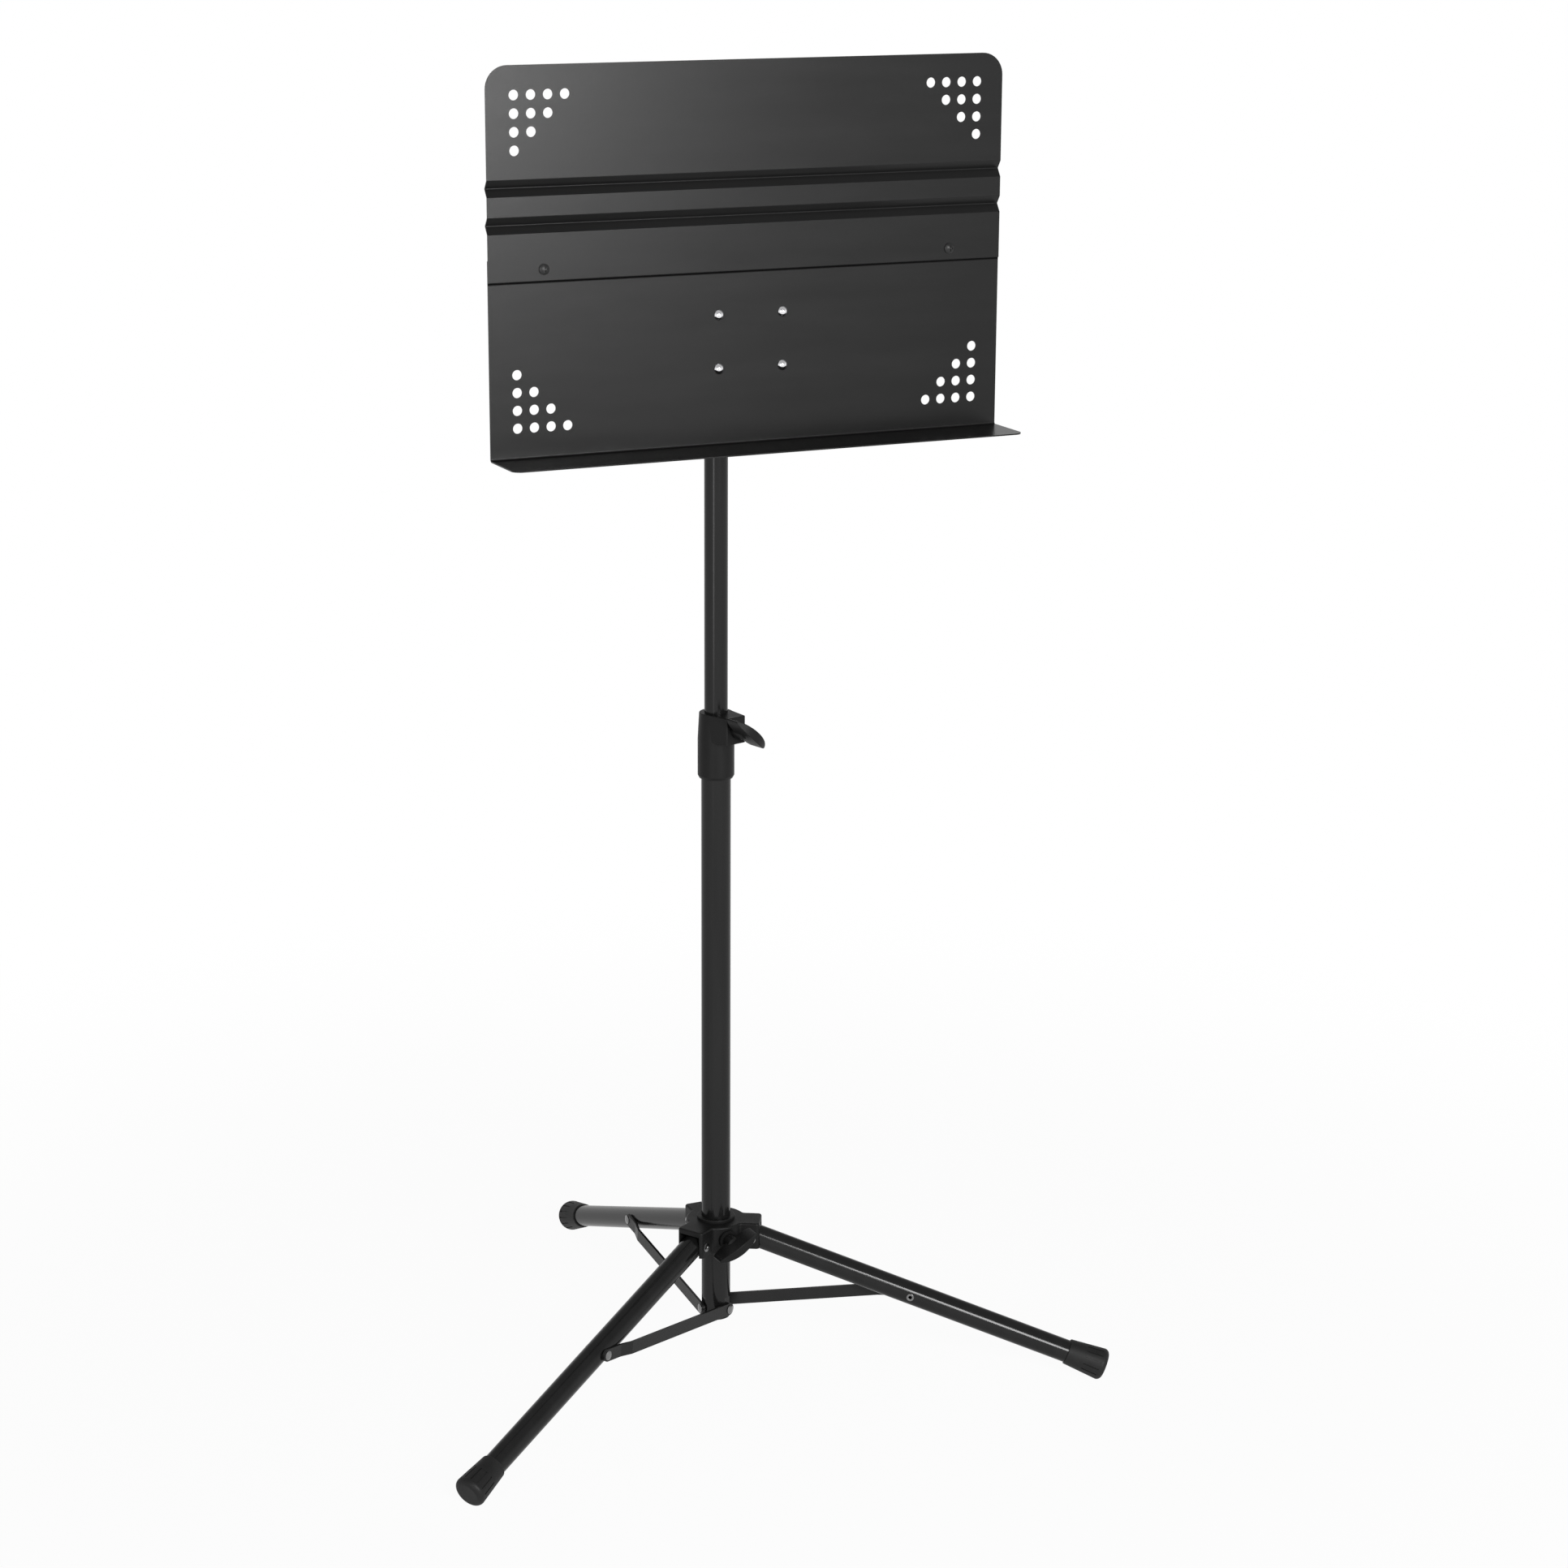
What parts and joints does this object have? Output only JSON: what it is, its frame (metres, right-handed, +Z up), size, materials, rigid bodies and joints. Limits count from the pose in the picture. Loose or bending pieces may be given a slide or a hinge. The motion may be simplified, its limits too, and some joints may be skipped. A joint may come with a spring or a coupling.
{
  "type": "music stand",
  "caption": "Free-standing folding music stand: sheet desk with ledge and pierced corners, tilting on a telescoping swivel post, on a tripod with sliding hub and struts.",
  "frame": {"origin": "on the floor, straight under the post", "axes": "+Z up along the post, -Y the way the desk faces, +X to the right of someone who looks at the desk's front"},
  "size_m": [0.6748, 0.588, 1.2654],
  "materials": {
    "desk_paint": "satin powder coat",
    "bracket_paint": "satin powder coat",
    "tube_paint": "semi-gloss",
    "moulded_plastic": "fine matte grain",
    "foot_rubber": "dull",
    "black_screws": "black oxide",
    "chrome": "polished",
    "rivet_steel": "bright",
    "zinc_steel": "zinc plated",
    "brass": "plain",
    "fibre": "dry friction surface"
  },
  "bodies": {
    "base_post": {"lower_tube": "tube_paint", "foot_plug": "moulded_plastic", "base_rivets": "rivet_steel", "clamp_collar": "moulded_plastic", "collar_rivet": "rivet_steel", "clamp_nut": "brass"},
    "hub_carriage": {"hub": "moulded_plastic", "hub_nut": "brass", "leg_pivot_rivets": "rivet_steel"},
    "hub_brake": {"hub_pad": "fibre"},
    "hub_wing": {"hub_stud": "zinc_steel", "hub_paddle": "moulded_plastic"},
    "clamp_brake": {"clamp_pad": "fibre"},
    "clamp_wing": {"clamp_stud": "zinc_steel", "clamp_paddle": "moulded_plastic"},
    "mast_guide": {"guide_bush": "moulded_plastic"},
    "mast": {"upper_tube": "tube_paint", "tube_head": "moulded_plastic", "head_pin": "rivet_steel", "friction_washers": "fibre"},
    "desk": {"desk_upper_panel": "desk_paint", "desk_lower_panel": "desk_paint", "panel_screws": "black_screws", "panel_nuts": "zinc_steel", "bracket_screws": "chrome", "bracket_nuts": "zinc_steel", "desk_bracket": "bracket_paint", "tilt_bolt": "zinc_steel"},
    "tilt_knob": {"tilt_paddle": "moulded_plastic"},
    "leg_front_left": {"leg_a": "tube_paint", "leg_eyelet_a": "rivet_steel", "foot_a": "foot_rubber"},
    "strut_front_left": {"strut_a": "bracket_paint", "strut_rivet_a": "rivet_steel"},
    "leg_front_right": {"leg_b": "tube_paint", "leg_eyelet_b": "rivet_steel", "foot_b": "foot_rubber"},
    "strut_front_right": {"strut_b": "bracket_paint", "strut_rivet_b": "rivet_steel"},
    "leg_back": {"leg_c": "tube_paint", "leg_eyelet_c": "rivet_steel", "foot_c": "foot_rubber"},
    "strut_back": {"strut_c": "bracket_paint", "strut_rivet_c": "rivet_steel"}
  },
  "joints": [
    {"name": "hub_slide", "type": "slide", "parent": "base_post", "child": "hub_carriage", "axis": [0, 0, 1], "range_m": [0, 0.2766]},
    {"name": "post_slide", "type": "slide", "parent": "base_post", "child": "mast_guide", "axis": [0, 0, 1], "range_m": [-0.25, 0.12]},
    {"name": "post_swivel", "type": "hinge", "parent": "mast_guide", "child": "mast", "pos_m": [0, 0, 0.43], "axis": [0, 0, 1], "continuous": true},
    {"name": "desk_tilt", "type": "hinge", "parent": "mast", "child": "desk", "pos_m": [0, 0, 1.0194], "axis": [-1, 0, 0], "range_deg": [-10, 80]},
    {"name": "tilt_knob_turn", "type": "hinge", "parent": "desk", "child": "tilt_knob", "pos_m": [0.06, 0, 1.0194], "axis": [1, 0, 0], "range_deg": [0, 330]},
    {"name": "clamp_pad_slide", "type": "slide", "parent": "base_post", "child": "clamp_brake", "axis": [0.2756, -0.9613, 0], "range_m": [0, 0.00125]},
    {"name": "clamp_screw_turn", "type": "hinge", "parent": "clamp_brake", "child": "clamp_wing", "pos_m": [0.01103, -0.03845, 0.6478], "axis": [0.2756, -0.9613, 0], "range_deg": [0, 360]},
    {"name": "hub_pad_slide", "type": "slide", "parent": "hub_carriage", "child": "hub_brake", "axis": [0, -1, 0], "range_m": [0, 0.00125]},
    {"name": "hub_screw_turn", "type": "hinge", "parent": "hub_brake", "child": "hub_wing", "pos_m": [0, -0.045, 0.14057], "axis": [0, -1, 0], "range_deg": [0, 360]},
    {"name": "leg_front_left_fold", "type": "hinge", "parent": "hub_carriage", "child": "leg_front_left", "pos_m": [-0.03092, -0.01785, 0.13707], "axis": [0.5, -0.866, 0], "range_deg": [0, 70.2]},
    {"name": "strut_front_left_fold", "type": "hinge", "parent": "base_post", "child": "strut_front_left", "pos_m": [0, 0, 0.06], "axis": [-0.5, 0.866, 0], "range_deg": [0, 72.96]},
    {"name": "leg_front_right_fold", "type": "hinge", "parent": "hub_carriage", "child": "leg_front_right", "pos_m": [0.03092, -0.01785, 0.13707], "axis": [0.5, 0.866, 0], "range_deg": [0, 70.2]},
    {"name": "strut_front_right_fold", "type": "hinge", "parent": "base_post", "child": "strut_front_right", "pos_m": [0, 0, 0.06], "axis": [-0.5, -0.866, 0], "range_deg": [0, 72.96]},
    {"name": "leg_back_fold", "type": "hinge", "parent": "hub_carriage", "child": "leg_back", "pos_m": [0, 0.0357, 0.13707], "axis": [-1, 0, 0], "range_deg": [0, 70.2]},
    {"name": "strut_back_fold", "type": "hinge", "parent": "base_post", "child": "strut_back", "pos_m": [0, 0, 0.06], "axis": [1, 0, 0], "range_deg": [0, 72.96]}
  ],
  "couplings": [
    {"joint": "clamp_screw_turn", "follows": "clamp_pad_slide", "rad_per_m": 5026.5},
    {"joint": "hub_screw_turn", "follows": "hub_pad_slide", "rad_per_m": 5026.5},
    {"joint": "leg_front_left_fold", "follows": "hub_slide", "rad_per_m": 4.429},
    {"joint": "strut_front_left_fold", "follows": "hub_slide", "rad_per_m": 4.603},
    {"joint": "leg_front_right_fold", "follows": "hub_slide", "rad_per_m": 4.429},
    {"joint": "strut_front_right_fold", "follows": "hub_slide", "rad_per_m": 4.603},
    {"joint": "leg_back_fold", "follows": "hub_slide", "rad_per_m": 4.429},
    {"joint": "strut_back_fold", "follows": "hub_slide", "rad_per_m": 4.603}
  ]
}
